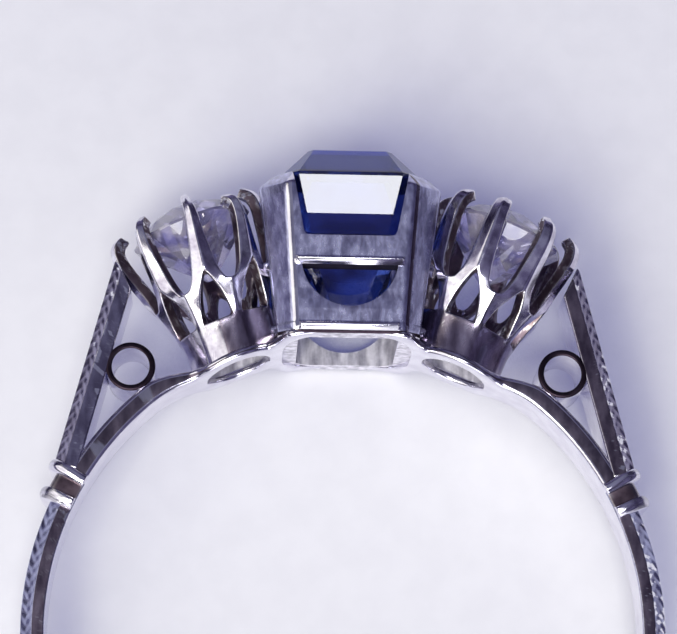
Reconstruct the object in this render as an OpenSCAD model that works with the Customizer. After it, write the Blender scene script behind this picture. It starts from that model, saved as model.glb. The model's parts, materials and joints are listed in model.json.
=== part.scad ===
// Three-stone ring: a step-cut stone in a tapered box setting stands between two
// round stones in clawed coronets, on a band with pierced, forked shoulders.
// Each piece is drawn standing, with the finger along Z and the stones towards +Y,
// and is then laid on its side.

/* [Band] */
// Inside radius of the band
finger_r = 8.65; // [8.4:0.05:8.9]
// Thickness of the plain band
band_t = 0.71; // [0.55:0.01:0.8]
// Width of the plain band, along the finger
band_w = 1.6; // [1.3:0.1:1.8]
// Drop of the bevel on the band's outer edges
band_bevel = 0.34; // [0.2:0.02:0.4]

/* [Shoulders] */
// Width of the shoulder bars, along the finger
shoulder_w = 1.9; // [1.6:0.1:2.1]
// Thickness of the inner rail and the gallery
rail_t = 0.6; // [0.5:0.05:0.7]
// Outer radius of the small open tube in each fork
tube_r = 0.74; // [0.72:0.01:0.8]
// Radius of the hole through that tube
tube_hole_r = 0.52; // [0.4:0.02:0.56]
// Width of each collar, around the band
collar_t = 0.4; // [0.25:0.05:0.5]
// Width of each collar, along the finger
collar_w = 2.05; // [1.95:0.05:2.3]

/* [Box setting] */
// Half length of the box at its rim, along the finger
box_hz = 2.97; // [2.9:0.01:3.1]
// Half width of the box at its rim, across the finger
box_hx = 2.72; // [2.65:0.01:2.8]
// Cut across the box's corners at its rim
box_corner = 0.8; // [0.6:0.05:0.9]
// Height of the box's rim above the middle of the band
box_rim = 13.05; // [12.95:0.05:13.1]

/* [Coronets] */
// Lean of each coronet away from the middle
coronet_lean = 21.5; // [20:0.5:22.5]
// Turn of the right coronet's claws about its own axis
right_turn = -9; // [-15:1:0]
/* [Stones] */
// Half width of the middle stone at its girdle, across the finger
sapphire_hx = 2.0; // [1.9:0.02:2.02]
// Half length of the middle stone at its girdle, along the finger
sapphire_hz = 2.5; // [2.4:0.02:2.52]
// Radius of each round stone
diamond_r = 1.82; // [1.78:0.01:1.83]
// Gap between a stone and its metal
seat_gap = 0.05; // [0.03:0.01:0.06]

/* [Hidden] */
$fn = 96;

band_r = finger_r + band_t;
band_edge_r = band_r - band_bevel;
rail_r = finger_r + rail_t;
// What runs round the hole starts inside it and is cut back by the hole
root_r = finger_r - 0.3;
// Cutters pass right through, or run past a face by the margin
reach = 20;
margin = 1;

// Collars, by their angle above the level of the finger hole's middle
collar_low = 24;
collar_high = 29;
collar_low_r = 9.74;
collar_high_r = 9.9;
collar_rim = 0.3;
neck_r = 9.62;
neck_w = 1.75;
neck_bevel = 0.2;

// Outer bar of a shoulder, from the upper collar to the coronet's outer claw
bar_foot_out = [8.52, 4.75];
bar_top_out = [6.98, 10.95];
bar_top_in = [6.5, 10.85];
bar_waist = [6.4, 10.3];
bar_fork = [7.62, 5.35];
bar_foot_in = [7.55, 4.2];
bar_bevel = 0.3;
tube_at = [6.36, 7.64];

// Gallery under the head, as seen from the finger
gallery_low = collar_high - 1;
gallery_box = [2.1, 2.6];
gallery_disc_r = 1.83;
gallery_disc_angle = 22.3;
gallery_hole = [1.68, 2.05];
gallery_hole_corner = 0.7;
gallery_hole_top = 9.55;
coronet_hole_r = 1.2;

// Box: its foot, what it gains for each millimetre of height in half width, half length
// and corner cut, its walls, and the heights of what lies across and through them
box_foot = 8.85;
box_slope = [0.14, 0.11, 0.07];
corner_share = 0.4;
wall = 0.6;
hollow_top = 12.55;
crossbar = [10.55, 11.26];
plinth_top = 9.03;
post_top = 13.4;
post_slope = 0.38;
// Half widths between the posts on the two narrow faces and on the two long ones
panel_half = [1.58, 1.86];
window_low_half = 1.41;
window_top_half = 1.88;
side_window_spread = 0.15;
moon_r = 1.42;
moon_bottom = 9.2;
moon_top = 10.48;
// How far crossbar and plinth stand out from the walls
proud = 0.07;

// Coronet: its base ring's middle, and its heights along its own axis
claws = 8;
claw_pitch = 360 / claws;
coronet_at = [3.355, 8.7];
collar_top = 0.35;
girdle_h = 3.58;
claw_top = 4.16;
u_bottom = 1.56;
u_r = 0.46;
u_top_half = 0.88;
u_top = claw_top + 0.6;
cup_reach = 4;
// Pointed opening: its foot and top at the radius where the claws stand, its half angle,
// and how far out the cutter runs
arch_foot = collar_top + 0.02;
arch_top = 2.2;
arch_r = 2.1;
arch_half_angle = 18;
arch_reach = 3;

// Profile of a coronet's cup: radius and height, up its outside and down its inside
cup = [
    [1.5, -0.8], [1.5, 0.3], [1.58, collar_top], [1.86, 1.2], [2.12, 2.3],
    [2.26, 3.2], [2.27, 3.7], [2.12, 4.04], [1.86, claw_top],
    [1.66, 4.05], [1.64, 3.9], [diamond_r + seat_gap, 3.72], [diamond_r + seat_gap, 3.46],
    [1.76, 3.3], [1.68, 2.3], [1.5, 1.2], [1.27, 0.3], [1.2, -0.8]
];

// Middle stone: rows of height, half width, half length and corner cut
sapphire_rows = [
    [9.45, 0.3, 0.8, 0.1],
    [10.2, 1.15, 1.5, 0.32],
    [11.2, sapphire_hx - 0.5, sapphire_hz - 0.6, 0.45],
    [12.22, sapphire_hx - 0.28, sapphire_hz - 0.3, 0.5],
    [13.18, sapphire_hx, sapphire_hz, 0.42],
    [13.26, sapphire_hx, sapphire_hz, 0.42],
    [14.16, sapphire_hx - 0.6, sapphire_hz - 0.8, 0.22]
];

// Round stone: half thickness of its girdle, then its table, inner ring of crown
// points, ring of pavilion points and small flat bottom, by radius
girdle_half = 0.04;
table_r = 0.95;
crown_slope = tan(34);
star_r = 1.42;
pavilion_slope = tan(41);
lower_r = 0.75;
culet_r = 0.13;

// The ring rests on the band's lower edge and the upper edge of the box's lower crossbar
rest_hz = box_hz - box_slope[1] * (box_rim - crossbar[1]) + proud;
rest_tilt = atan((rest_hz - band_w / 2) / (crossbar[1] + band_edge_r));
rest_drop = -band_edge_r * sin(rest_tilt) - band_w / 2 * cos(rest_tilt);
table_row = sapphire_rows[len(sapphire_rows) - 1];
back_y = table_row[0] * cos(rest_tilt) + table_row[2] * sin(rest_tilt);
front_y = -band_r * cos(rest_tilt) - (band_w / 2 - band_bevel) * sin(rest_tilt);

// Corners of an eight-sided outline, as x and z
function outline(hx, hz, c) = [
    [hx, hz - c], [hx - c, hz], [c - hx, hz], [-hx, hz - c],
    [-hx, c - hz], [c - hx, -hz], [hx - c, -hz], [hx, c - hz]
];

// Solid through eight-sided outlines, one above the other
module stack(rows) {
    top = len(rows) - 1;
    points = [
        for (row = rows) for (p = outline(row[1], row[2], row[3])) [p[0], row[0], p[1]]
    ];
    sides = [
        for (level = [0 : top - 1]) for (i = [0 : 7])
            [8 * level + i, 8 * level + (i + 1) % 8,
             8 * level + 8 + (i + 1) % 8, 8 * level + 8 + i]
    ];
    floor_face = [[for (i = [7 : -1 : 0]) i]];
    top_face = [[for (i = [0 : 7]) 8 * top + i]];
    polyhedron(points, concat(floor_face, top_face, sides), convexity = 4);
}

// Outer size of the box at a height, as a row, grown sideways
function box_row(y, grow = 0) = [
    y,
    box_hx - box_slope[0] * (box_rim - y) + grow,
    box_hz - box_slope[1] * (box_rim - y) + grow,
    box_corner - box_slope[2] * (box_rim - y) + grow * corner_share
];

module lie_down() {
    translate([0, -(back_y + front_y) / 2, -rest_drop]) rotate([rest_tilt, 0, 0]) children();
}

module plate(w) {
    linear_extrude(height = w, center = true) children();
}

// Sector of a band, with its outer edges bevelled
module band_sector(from, sweep, r, w, bevel) {
    rotate([0, 0, from]) rotate_extrude(angle = sweep) polygon([
        [root_r, -w / 2], [r - bevel, -w / 2], [r, -w / 2 + bevel],
        [r, w / 2 - bevel], [r - bevel, w / 2], [root_r, w / 2]
    ]);
}

module plain_band() {
    band_sector(180 - collar_low, 180 + 2 * collar_low, band_r, band_w, band_bevel);
}

// Raised collar across the band, with a rounded rim
module collar(angle, r) {
    shelf_r = r - collar_rim;
    rim_z = collar_w / 2 - collar_rim;
    rotate([0, 0, angle]) rotate([90, 0, 0]) plate(collar_t) {
        translate([root_r, -collar_w / 2]) square([shelf_r - root_r, collar_w]);
        translate([root_r, -rim_z]) square([r - root_r, 2 * rim_z]);
        for (side = [-1, 1]) translate([shelf_r, side * rim_z]) circle(collar_rim);
    }
}

// Outer bar of the fork, with both of its outer edges bevelled
module outer_bar() {
    run = bar_top_out - bar_foot_out;
    length = norm(run);
    lean = atan2(run[1], run[0]);
    cut = 2 * margin;
    difference() {
        plate(shoulder_w)
            polygon([bar_foot_in, bar_foot_out, bar_top_out, bar_top_in, bar_waist, bar_fork]);
        for (side = [-1, 1])
            translate([bar_foot_out[0], bar_foot_out[1], side * (shoulder_w / 2 - bar_bevel)])
                rotate([0, 0, lean - 90]) rotate([0, -side * 45, 0])
                    translate([0, -margin, -cut]) cube([cut, length + 2 * margin, 2 * cut]);
    }
}

// Right-hand shoulder: collars, neck, forked bars and the open tube in the fork
module shoulder() {
    collar(collar_low, collar_low_r);
    collar(collar_high, collar_high_r);
    band_sector(collar_low, collar_high - collar_low, neck_r, neck_w, neck_bevel);
    outer_bar();
    translate(tube_at) plate(shoulder_w) difference() {
        circle(tube_r);
        circle(tube_hole_r);
    }
}

// Thin arch over the finger, wider under the box and the coronets
module gallery() {
    intersection() {
        rotate([0, 0, gallery_low]) rotate_extrude(angle = 180 - 2 * gallery_low)
            translate([root_r, -box_hz]) square([rail_r - root_r, 2 * box_hz]);
        union() {
            translate([-reach, 0, -shoulder_w / 2]) cube([2 * reach, reach, shoulder_w]);
            translate([-gallery_box[0], 0, -gallery_box[1]])
                cube([2 * gallery_box[0], reach, 2 * gallery_box[1]]);
            at_gallery_discs() cylinder(r = gallery_disc_r, h = reach);
        }
    }
}

// Rounded opening from the finger up into the box
module gallery_opening() {
    c = gallery_hole_corner;
    rotate([-90, 0, 0]) linear_extrude(height = gallery_hole_top) {
        square([2 * gallery_hole[0], 2 * (gallery_hole[1] - c)], center = true);
        square([2 * (gallery_hole[0] - c), 2 * gallery_hole[1]], center = true);
        for (x = [-1, 1], z = [-1, 1])
            translate([x * (gallery_hole[0] - c), z * (gallery_hole[1] - c)]) circle(c);
    }
}

// Keeps what lies between the corner posts, on all four faces
module between_posts(from, to) {
    for (i = [0, 1]) rotate([0, 90 * i, 0]) translate([-panel_half[i], from, -reach])
        cube([2 * panel_half[i], to - from, 2 * reach]);
}

// Open-topped window above the crossbar and half-moon window below it
module windows(spread) {
    plate(2 * reach) {
        polygon([
            [-window_low_half - spread, crossbar[1]], [window_low_half + spread, crossbar[1]],
            [window_top_half + spread, box_rim + margin],
            [-window_top_half - spread, box_rim + margin]
        ]);
        intersection() {
            translate([0, moon_bottom + moon_r + spread]) circle(moon_r + spread);
            translate([-reach, 0]) square([2 * reach, moon_top]);
        }
    }
}

// Space for the middle stone, grown by the gap and open a little upwards
module sapphire_seat() {
    for (lift = [0, 2 * seat_gap]) translate([0, lift, 0]) stack([
        for (row = sapphire_rows) row + seat_gap * [1, 1, 1, corner_share]
    ]);
}

module box_setting() {
    difference() {
        union() {
            stack([box_row(box_foot), box_row(box_rim),
                   box_row(post_top, -post_slope) + [0, 0, 0, post_slope * corner_share / 2]]);
            intersection() {
                stack([box_row(crossbar[0], proud), box_row(crossbar[1], proud)]);
                between_posts(crossbar[0], crossbar[1]);
            }
            intersection() {
                stack([box_row(box_foot, proud), box_row(plinth_top, proud)]);
                between_posts(box_foot, plinth_top);
            }
        }
        stack([box_row(box_foot - margin, -wall), box_row(hollow_top, -wall)]);
        sapphire_seat();
        windows(0);
        rotate([0, 90, 0]) windows(side_window_spread);
    }
}

// Points its children's Z outwards through the gallery, under each coronet
module at_gallery_discs() {
    for (side = [-1, 1])
        rotate([0, 0, -side * gallery_disc_angle]) rotate([-90, 0, 0]) children();
}

module on_coronet_axis(side) {
    translate([side * coronet_at[0], coronet_at[1], 0])
        rotate([0, 0, -side * coronet_lean]) rotate([-90, 0, 0]) children();
}

// Gap between two claws, round at the bottom and open at the top
module claw_gap() {
    waist = u_bottom + u_r;
    polygon([[-u_r, waist], [u_r, waist], [u_top_half, u_top], [-u_top_half, u_top]]);
    translate([0, waist]) circle(u_r);
}

// Pointed opening under a claw, wider and taller outwards, as a needle file leaves it
module arch() {
    peak = arch_foot + (arch_top - arch_foot) * arch_reach / arch_r;
    side_x = arch_reach * cos(arch_half_angle);
    side_y = arch_reach * sin(arch_half_angle);
    polyhedron(
        [[0, 0, arch_foot], [side_x, -side_y, arch_foot], [side_x, side_y, arch_foot],
         [arch_reach, 0, peak]],
        [[0, 1, 2], [0, 3, 1], [0, 2, 3], [1, 3, 2]]
    );
}

// Cup of revolution, filed into claws from above and pierced under each claw
module coronet(turn) {
    rotate([0, 0, turn]) difference() {
        rotate_extrude() polygon(cup);
        for (i = [0 : claws - 1]) {
            rotate([0, 0, (i + 0.5) * claw_pitch]) rotate([90, 0, 0])
                linear_extrude(height = cup_reach) claw_gap();
            rotate([0, 0, i * claw_pitch - 90]) arch();
        }
    }
}

module ring_mount() {
    color("lavender") lie_down() difference() {
        union() {
            plain_band();
            shoulder();
            mirror([1, 0, 0]) shoulder();
            gallery();
            difference() {
                union() {
                    on_coronet_axis(-1) coronet(0);
                    on_coronet_axis(1) coronet(right_turn);
                }
                stack([box_row(box_foot - margin, -wall / 2),
                       box_row(box_rim + margin, -wall / 2)]);
            }
            box_setting();
        }
        cylinder(r = finger_r, h = reach, center = true);
        gallery_opening();
        at_gallery_discs() cylinder(r = coronet_hole_r, h = rail_r + proud);
    }
}

module sapphire() {
    color("royalblue") lie_down() stack(sapphire_rows);
}

// Height above the girdle of a main facet that starts at an odd corner of the girdle, at
// a point at radius r that lies in line with that corner, or halfway to the next facet
function rise(r, slope, halfway) = slope * (diamond_r - r * (halfway ? cos(22.5) : 1));

// Ring of points of a round stone, with every second corner of the girdle or all 16
function facet_ring(r, z, count, first) = [
    for (i = [0 : count - 1])
        [r * cos(first + i * 360 / count), r * sin(first + i * 360 / count), z]
];

// Old-cut round stone, table towards +Z, with the middle of its girdle at zero
module round_stone() {
    points = concat(
        facet_ring(table_r, girdle_half + rise(table_r, crown_slope, false), 8, 22.5),
        facet_ring(star_r, girdle_half + rise(star_r, crown_slope, true), 8, 0),
        facet_ring(diamond_r, girdle_half, 16, 0),
        facet_ring(diamond_r, -girdle_half, 16, 0),
        facet_ring(lower_r, -girdle_half - rise(lower_r, pavilion_slope, true), 8, 0),
        facet_ring(culet_r, -girdle_half - rise(culet_r, pavilion_slope, true), 8, 0)
    );
    table = 0;
    star = 8;
    upper = 16;
    lower = 32;
    low_star = 48;
    culet = 56;
    faces = concat(
        [[for (i = [7 : -1 : 0]) table + i], [for (i = [0 : 7]) culet + i]],
        [for (i = [0 : 7]) let (next = (i + 1) % 8, before = (i + 7) % 8,
                                mid = 2 * i + 1, behind = (2 * i + 15) % 16) each [
            [table + i, star + i, table + before],
            [table + i, star + next, upper + mid, star + i],
            [star + i, upper + mid, upper + 2 * i],
            [star + i, upper + 2 * i, upper + behind],
            [culet + i, low_star + i, lower + mid, low_star + next, culet + next],
            [low_star + i, lower + 2 * i, lower + mid],
            [low_star + i, lower + behind, lower + 2 * i]
        ]],
        [for (j = [0 : 15]) [upper + j, upper + (j + 1) % 16, lower + (j + 1) % 16, lower + j]]
    );
    polyhedron(points, faces, convexity = 2);
}

module diamond(side) {
    color("aliceblue") lie_down() on_coronet_axis(side)
        translate([0, 0, girdle_h]) round_stone();
}

module left_diamond() { diamond(-1); }

module right_diamond() { diamond(1); }

ring_mount();
sapphire();
left_diamond();
right_diamond();
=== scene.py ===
import json
import math

import bmesh
import bpy
from mathutils import Matrix, Vector, noise


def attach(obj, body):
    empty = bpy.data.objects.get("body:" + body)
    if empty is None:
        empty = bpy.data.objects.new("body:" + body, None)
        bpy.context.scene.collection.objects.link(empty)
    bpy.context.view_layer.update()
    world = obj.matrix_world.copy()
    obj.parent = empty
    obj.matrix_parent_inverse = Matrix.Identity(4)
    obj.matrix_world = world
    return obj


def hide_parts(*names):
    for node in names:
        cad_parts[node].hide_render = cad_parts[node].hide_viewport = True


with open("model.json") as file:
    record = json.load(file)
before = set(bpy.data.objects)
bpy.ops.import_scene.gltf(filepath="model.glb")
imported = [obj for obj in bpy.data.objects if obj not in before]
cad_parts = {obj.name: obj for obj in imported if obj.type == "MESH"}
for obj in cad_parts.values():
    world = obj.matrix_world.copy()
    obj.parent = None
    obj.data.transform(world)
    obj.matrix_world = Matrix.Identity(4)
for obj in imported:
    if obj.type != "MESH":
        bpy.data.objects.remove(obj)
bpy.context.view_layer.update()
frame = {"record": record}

# Camera: it looks down on the ring as the photograph does, from the finger's side of the head. Every piece
# is drawn standing, in millimetres, with the finger along Z and the stones towards +Y, and lies down with
# the finger hole's own place and axis.
hole = frame["record"]["mounts"][0]
finger_r = hole["dims"]["r_mm"]
lean_back = Matrix.Rotation(math.atan2(-hole["axis"][1], hole["axis"][2]), 4, "X")
mm = 0.001
lie_down = Matrix.Translation(hole["pos_m"]) @ lean_back @ Matrix.Scale(mm, 4)

photo_width = 677
sensor = 36
focal_pixels = 2985.4
camera_rise, camera_swing, camera_roll = (
    math.radians(degrees) for degrees in (13.466, 1.984, -0.57))
camera_reach = 89.13
camera_target = Vector((-0.238, 9.463, 0))

towards_camera = Vector((
    -math.sin(camera_swing) * math.cos(camera_rise),
    -math.sin(camera_rise),
    math.cos(camera_swing) * math.cos(camera_rise),
)).normalized()
across = Vector((0, 1, 0)).cross(towards_camera).normalized()
upwards = towards_camera.cross(across)
facing = Matrix((across, upwards, towards_camera)).transposed().to_4x4()
lens = bpy.data.cameras.new("camera")
lens.sensor_width = sensor
lens.lens = focal_pixels / photo_width * sensor
lens.clip_start, lens.clip_end = 0.005, 5
camera = bpy.data.objects.new("camera", lens)
bpy.context.scene.collection.objects.link(camera)
camera.matrix_world = (
    Matrix.Translation(lie_down @ (camera_target + towards_camera * camera_reach))
    @ lean_back @ facing @ Matrix.Rotation(-camera_roll, 4, "Z")
)
bpy.context.scene.camera = camera


# Platinum: one white metal throughout, cast and filed by hand. Raised edges are rubbed bright, flat faces
# keep a satin of fine scratches, and hollows and engraver's cuts hold a purple-brown tarnish.
class Wire:
    """An output in a node tree. Arithmetic on it adds Math nodes, and node() adds any other."""

    def __init__(self, tree, socket=None):
        self.tree, self.socket = tree, socket

    def node(self, kind, settings=None, inputs=None, output=0):
        made = self.tree.nodes.new(kind)
        for key, value in (settings or {}).items():
            setattr(made, key, value)
        for key, value in (inputs or {}).items():
            if isinstance(value, Wire):
                self.tree.links.new(value.socket, made.inputs[key])
            else:
                made.inputs[key].default_value = value
        return Wire(self.tree, made.outputs[output])

    def math(self, operation, *values):
        return self.node("ShaderNodeMath", {"operation": operation}, dict(enumerate(values)))

    def __add__(self, other):
        return self.math("ADD", self, other)

    def __sub__(self, other):
        return self.math("SUBTRACT", self, other)

    def __rsub__(self, other):
        return self.math("SUBTRACT", other, self)

    def __mul__(self, other):
        return self.math("MULTIPLY", self, other)

    __radd__, __rmul__ = __add__, __mul__

    def between(self, low, high):
        """Rises smoothly from 0 to 1 as the value goes from low to high."""
        return self.node(
            "ShaderNodeMapRange", {"interpolation_type": "SMOOTHSTEP"},
            {"Value": self, "From Min": low, "From Max": high},
        )

    def speckle(self, size, detail=2, stretch=(1, 1, 1)):
        """Noise whose grains are about size millimetres across, in the object's own place."""
        place = self.node("ShaderNodeTexCoord", output="Object")
        scaled = self.node(
            "ShaderNodeVectorMath", {"operation": "MULTIPLY"},
            {0: place, 1: tuple(1 / mm / size / s for s in stretch)},
        )
        return self.node(
            "ShaderNodeTexNoise", inputs={"Vector": scaled, "Scale": 1.0, "Detail": detail})

    def blend(self, low, high):
        """A colour from low to high, by this value."""
        return self.node(
            "ShaderNodeMix", {"data_type": "RGBA"}, {0: self, 6: low, 7: high}, output=2
        )


def new_finish(name):
    """A material with its shader and a wire to build on."""
    finish = bpy.data.materials.new(name)
    finish.use_nodes = True
    shader = finish.node_tree.nodes["Principled BSDF"]
    return finish, shader, Wire(finish.node_tree)


grain_size, scratch_size, scratch_drawn = 0.09, 0.05, 9
cloud_span, cloud_share, grain_share = (0.25, 0.75), 0.75, 0.35
cloud_relief, grain_relief = 2, 0.5
hollow_edge, rubbed_edge = (0.42, 0.50), (0.51, 0.58)
hollow_brown, rubbed_white = (0.17, 0.12, 0.15, 1), (0.95, 0.95, 0.98, 1)
hollow_dulling, rubbed_gloss = 0.15, 0.5


def platinum(name, bright, shade, polish, mottle, scratch_depth, cloud_size=0.55, worn=0.8, drawn=1):
    """White metal: its bright and shaded colours, its roughness at the least and how far that wanders, the
    depth of its scratches, the size of its clouds, how far its edges are rubbed and its hollows dark, and
    how far its clouds are drawn out by the file."""
    finish, shader, wire = new_finish(name)
    shader.inputs["Metallic"].default_value = 1.0
    cloud = wire.speckle(cloud_size, stretch=(1, drawn, 1)).between(*cloud_span)
    grain = wire.speckle(grain_size)
    scratches = wire.speckle(scratch_size, detail=3, stretch=(scratch_drawn, 1, 1))
    metal = (cloud * cloud_share + grain * grain_share).blend(shade, bright)
    dull = polish + cloud * mottle
    if worn:
        edge = wire.node("ShaderNodeNewGeometry", output="Pointiness")
        hollow = 1 - edge.between(*hollow_edge)
        rubbed = edge.between(*rubbed_edge)
        metal = (rubbed * worn).blend(metal, rubbed_white)
        metal = (hollow * worn).blend(metal, hollow_brown)
        dull = dull + hollow * hollow_dulling - rubbed * polish * rubbed_gloss
    wire.tree.links.new(metal.socket, shader.inputs["Base Color"])
    wire.tree.links.new(dull.socket, shader.inputs["Roughness"])
    relief = wire.node("ShaderNodeBump", inputs={
        "Strength": 1.0, "Distance": scratch_depth,
        "Height": scratches + cloud * cloud_relief + grain * grain_relief})
    wire.tree.links.new(relief.socket, shader.inputs["Normal"])
    return finish


polished = platinum(
    "polished_platinum", (0.86, 0.85, 0.92, 1), (0.66, 0.64, 0.75, 1), 0.12, 0.06, 0.35e-6, worn=0)
worked = platinum(
    "worked_platinum", (0.86, 0.85, 0.94, 1), (0.40, 0.36, 0.47, 1), 0.14, 0.08, 0.5e-6,
    cloud_size=0.4, worn=0.6)
satin = platinum(
    "satin_platinum", (0.66, 0.67, 0.90, 1), (0.235, 0.23, 0.365, 1), 0.22, 0.06, 0.9e-6,
    cloud_size=0.20, worn=0, drawn=2.5)
engraved = platinum(
    "engraved_platinum", (0.46, 0.48, 0.68, 1), (0.16, 0.155, 0.26, 1), 0.22, 0.05, 0.8e-6,
    cloud_size=0.3, worn=0.9, drawn=3)
darkened = platinum(
    "darkened_platinum", (0.36, 0.34, 0.47, 1), (0.14, 0.12, 0.185, 1), 0.22, 0.05, 0.8e-6,
    cloud_size=0.3, drawn=3)
# dark brown-violet, painted shade on the feet of the coronets
painted_foot_shade = platinum(
    "stained_platinum", (0.50, 0.44, 0.55, 1), (0.13, 0.095, 0.13, 1), 0.20, 0.08, 1.0e-6,
    cloud_size=0.4, worn=0.6, drawn=3)
# dark violet, painted shade for the sides of the shank, bars and gallery and one edge of each box post
painted_shade_violet = platinum(
    "dulled_platinum", (0.21, 0.175, 0.23, 1), (0.065, 0.048, 0.075, 1), 0.28, 0.08, 1.2e-6,
    cloud_size=0.3, worn=0.6, drawn=3)
# dark purple-brown, painted shade for the recessed necks and the insides of the box and the coronets
shade_brown = platinum(
    "tarnished_platinum", (0.20, 0.15, 0.18, 1), (0.065, 0.043, 0.055, 1), 0.32, 0.10, 1.2e-6)
# near black, for the tube rims and for the painted shade under the box's plinth bar
near_black = platinum(
    "blackened_platinum", (0.05, 0.035, 0.05, 1), (0.018, 0.012, 0.018, 1), 0.28, 0.10, 0.8e-6, worn=0)
# near black, painted shade for the faces that look down under the box's window bars
painted_shade_black = platinum(
    "sooted_platinum", (0.020, 0.018, 0.034, 1), (0.009, 0.008, 0.016, 1), 0.55, 0.10, 0.8e-6, worn=0)
# rough metal for the lower insides, coloured light where light gets in: painted light
rough_and_painted_light = platinum(
    "raw_platinum", (0.92, 0.90, 1.0, 1), (0.21, 0.20, 0.28, 1), 0.38, 0.10, 1.4e-6,
    cloud_size=0.25, worn=0, drawn=4)
# the near-black painted shade and the rough, painted-light insides of the setting mirror little
for finish, metallic, specular in ((painted_shade_black, 0.0, 0.0), (rough_and_painted_light, 0.3, 0.5)):
    inputs = finish.node_tree.nodes["Principled BSDF"].inputs
    inputs["Metallic"].default_value = metallic
    inputs["Specular IOR Level"].default_value = specular


# Shank: a hoop drawn flat towards the finger, with both outer edges bevelled and cut by hand with a run of
# small leaves. Its ends run on under the lower collars and are soldered under the upper ones.
band_t, band_w, band_bevel = 0.71, 1.6, 0.34
bore_round, bevel_round, top_round = 0.07, 0.04, 0.06
shank_ends = math.radians(29)
shank_start = math.pi - shank_ends
shank_turn = math.pi + 2 * shank_ends
section_step, shank_step = 0.07, 0.045
leaf_pitch, leaf_depth, leaf_slant, leaf_share = 0.38, 0.035, 0.5, 0.36
leaf_fullness, leaf_fade = 0.8, 4
hand_least, hand_range, hand_pitch, hand_seed = 0.75, 0.5, 2.1, 3.0
longest_cut = 0.49
on_bevel, straight = 0.03, 0.97


def softened(corners, steps=4):
    """A closed outline whose corners, each given as x, y and radius, are rounded off."""
    points = []
    for i, (x, y, radius) in enumerate(corners):
        here = Vector((x, y))
        before = Vector(corners[i - 1][:2]) - here
        after = Vector(corners[(i + 1) % len(corners)][:2]) - here
        cut = radius / math.tan(before.angle(after) / 2)
        cut = min(cut, before.length * longest_cut, after.length * longest_cut)
        start, end = here + before.normalized() * cut, here + after.normalized() * cut
        for k in range(steps + 1):
            t = k / steps
            points.append(start * (1 - t) ** 2 + here * 2 * t * (1 - t) + end * t * t)
    return points


def divided(outline, step):
    """The same closed outline with no stretch longer than step."""
    points = []
    for i, p in enumerate(outline):
        q = outline[(i + 1) % len(outline)]
        pieces = max(1, math.ceil((q - p).length / step))
        points += [p.lerp(q, k / pieces) for k in range(pieces)]
    return points


def leaf_cut(along, over):
    """Depth of the cut leaves at a place along a bevel, in millimetres, and over it from 0 to 1."""
    side = abs(2 * over - 1)
    phase = (along / leaf_pitch + leaf_slant * side) % 1
    leaf = max(0.0, 1 - abs(phase - 0.5) / leaf_share)
    hand = hand_least + hand_range * noise.noise(Vector((along * hand_pitch, over, hand_seed)))
    return leaf_depth * leaf ** leaf_fullness * (1 - side ** leaf_fade) * hand


def skin(rows, hoop=False):
    """Points and faces over rows of points, each row a closed loop; a hoop joins the last to the first."""
    count = len(rows[0])
    points = [p for row in rows for p in row]
    faces = []
    for i in range(len(rows) - (0 if hoop else 1)):
        a, b = i * count, (i + 1) % len(rows) * count
        faces += [
            (a + j, a + (j + 1) % count, b + (j + 1) % count, b + j) for j in range(count)]
    if not hoop:
        faces.append(tuple(reversed(range(count))))
        faces.append(tuple(range(len(points) - count, len(points))))
    return points, faces


def made(name, points, faces, finish, flat=False):
    """A mesh piece, laid down into the frame."""
    mesh = bpy.data.meshes.new(name)
    mesh.from_pydata([lie_down @ Vector(p) for p in points], [], faces)
    piece = bpy.data.objects.new(name, mesh)
    bpy.context.scene.collection.objects.link(piece)
    with_bmesh = bmesh.new()
    with_bmesh.from_mesh(mesh)
    bmesh.ops.recalc_face_normals(with_bmesh, faces=with_bmesh.faces)
    with_bmesh.to_mesh(mesh)
    with_bmesh.free()
    mesh.polygons.foreach_set("use_smooth", [not flat] * len(mesh.polygons))
    mesh.materials.append(finish)
    return piece


def slots(piece, *finishes):
    """Adds finishes to a piece, and gives the number of each one's slot."""
    for finish in finishes:
        piece.data.materials.append(finish)
    count = len(piece.data.materials)
    return range(count - len(finishes), count)


def square_ends(piece):
    """Shades the ends of a bar flat, so that its sides stay straight up to them."""
    for face in piece.data.polygons:
        if len(face.vertices) > 4:
            face.use_smooth = False


def bevel_cut(section, width, low, bevel, along):
    """A bar's section (height, z), with leaves cut where it lies on either bevel."""
    cut_section = []
    for p in section:
        rise, fall = p.x - low, width / 2 - abs(p.y)
        if abs(rise - fall) < on_bevel and 0 < rise < bevel:
            depth = leaf_cut(along, (rise + fall) / 2 / bevel) / math.sqrt(2)
            p = Vector((p.x - depth, p.y - math.copysign(depth, p.y)))
        cut_section.append(p)
    return cut_section


def dressed(bar, section, side_finish=painted_shade_violet):
    """Gives a bar's sides their finish, painted shade unless given another, and polishes its flats. Its
    bevels keep the finish that it has.
    """
    side_slot, flat_slot = slots(bar, side_finish, polished)
    kinds = []
    for p, q in zip(section, section[1:] + section[:1]):
        way = (q - p).normalized()
        kinds.append(side_slot if abs(way.x) > straight else flat_slot if abs(way.y) > straight else 0)
    for k, face in enumerate(bar.data.polygons):
        face.material_index = kinds[k % len(kinds)]


band_r = finger_r + band_t
edge_r = band_r - band_bevel
band_half = band_w / 2
shank_section = divided(softened([
    (finger_r, -band_half, bore_round), (edge_r, -band_half, bevel_round),
    (band_r, band_bevel - band_half, top_round), (band_r, band_half - band_bevel, top_round),
    (edge_r, band_half, bevel_round), (finger_r, band_half, bore_round),
]), section_step)
steps = round(shank_turn * band_r / shank_step)
rows = []
for i in range(steps + 1):
    angle = shank_start + shank_turn * i / steps
    section = bevel_cut(shank_section, band_w, edge_r, band_bevel, angle * band_r)
    rows.append([(p.x * math.cos(angle), p.x * math.sin(angle), p.y) for p in section])
shank = made("shank", *skin(rows), engraved)
# the shank's sides are painted dark violet as shade
dressed(shank, shank_section)
square_ends(shank)
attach(shank, "root")
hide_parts("ring_mount")


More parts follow.
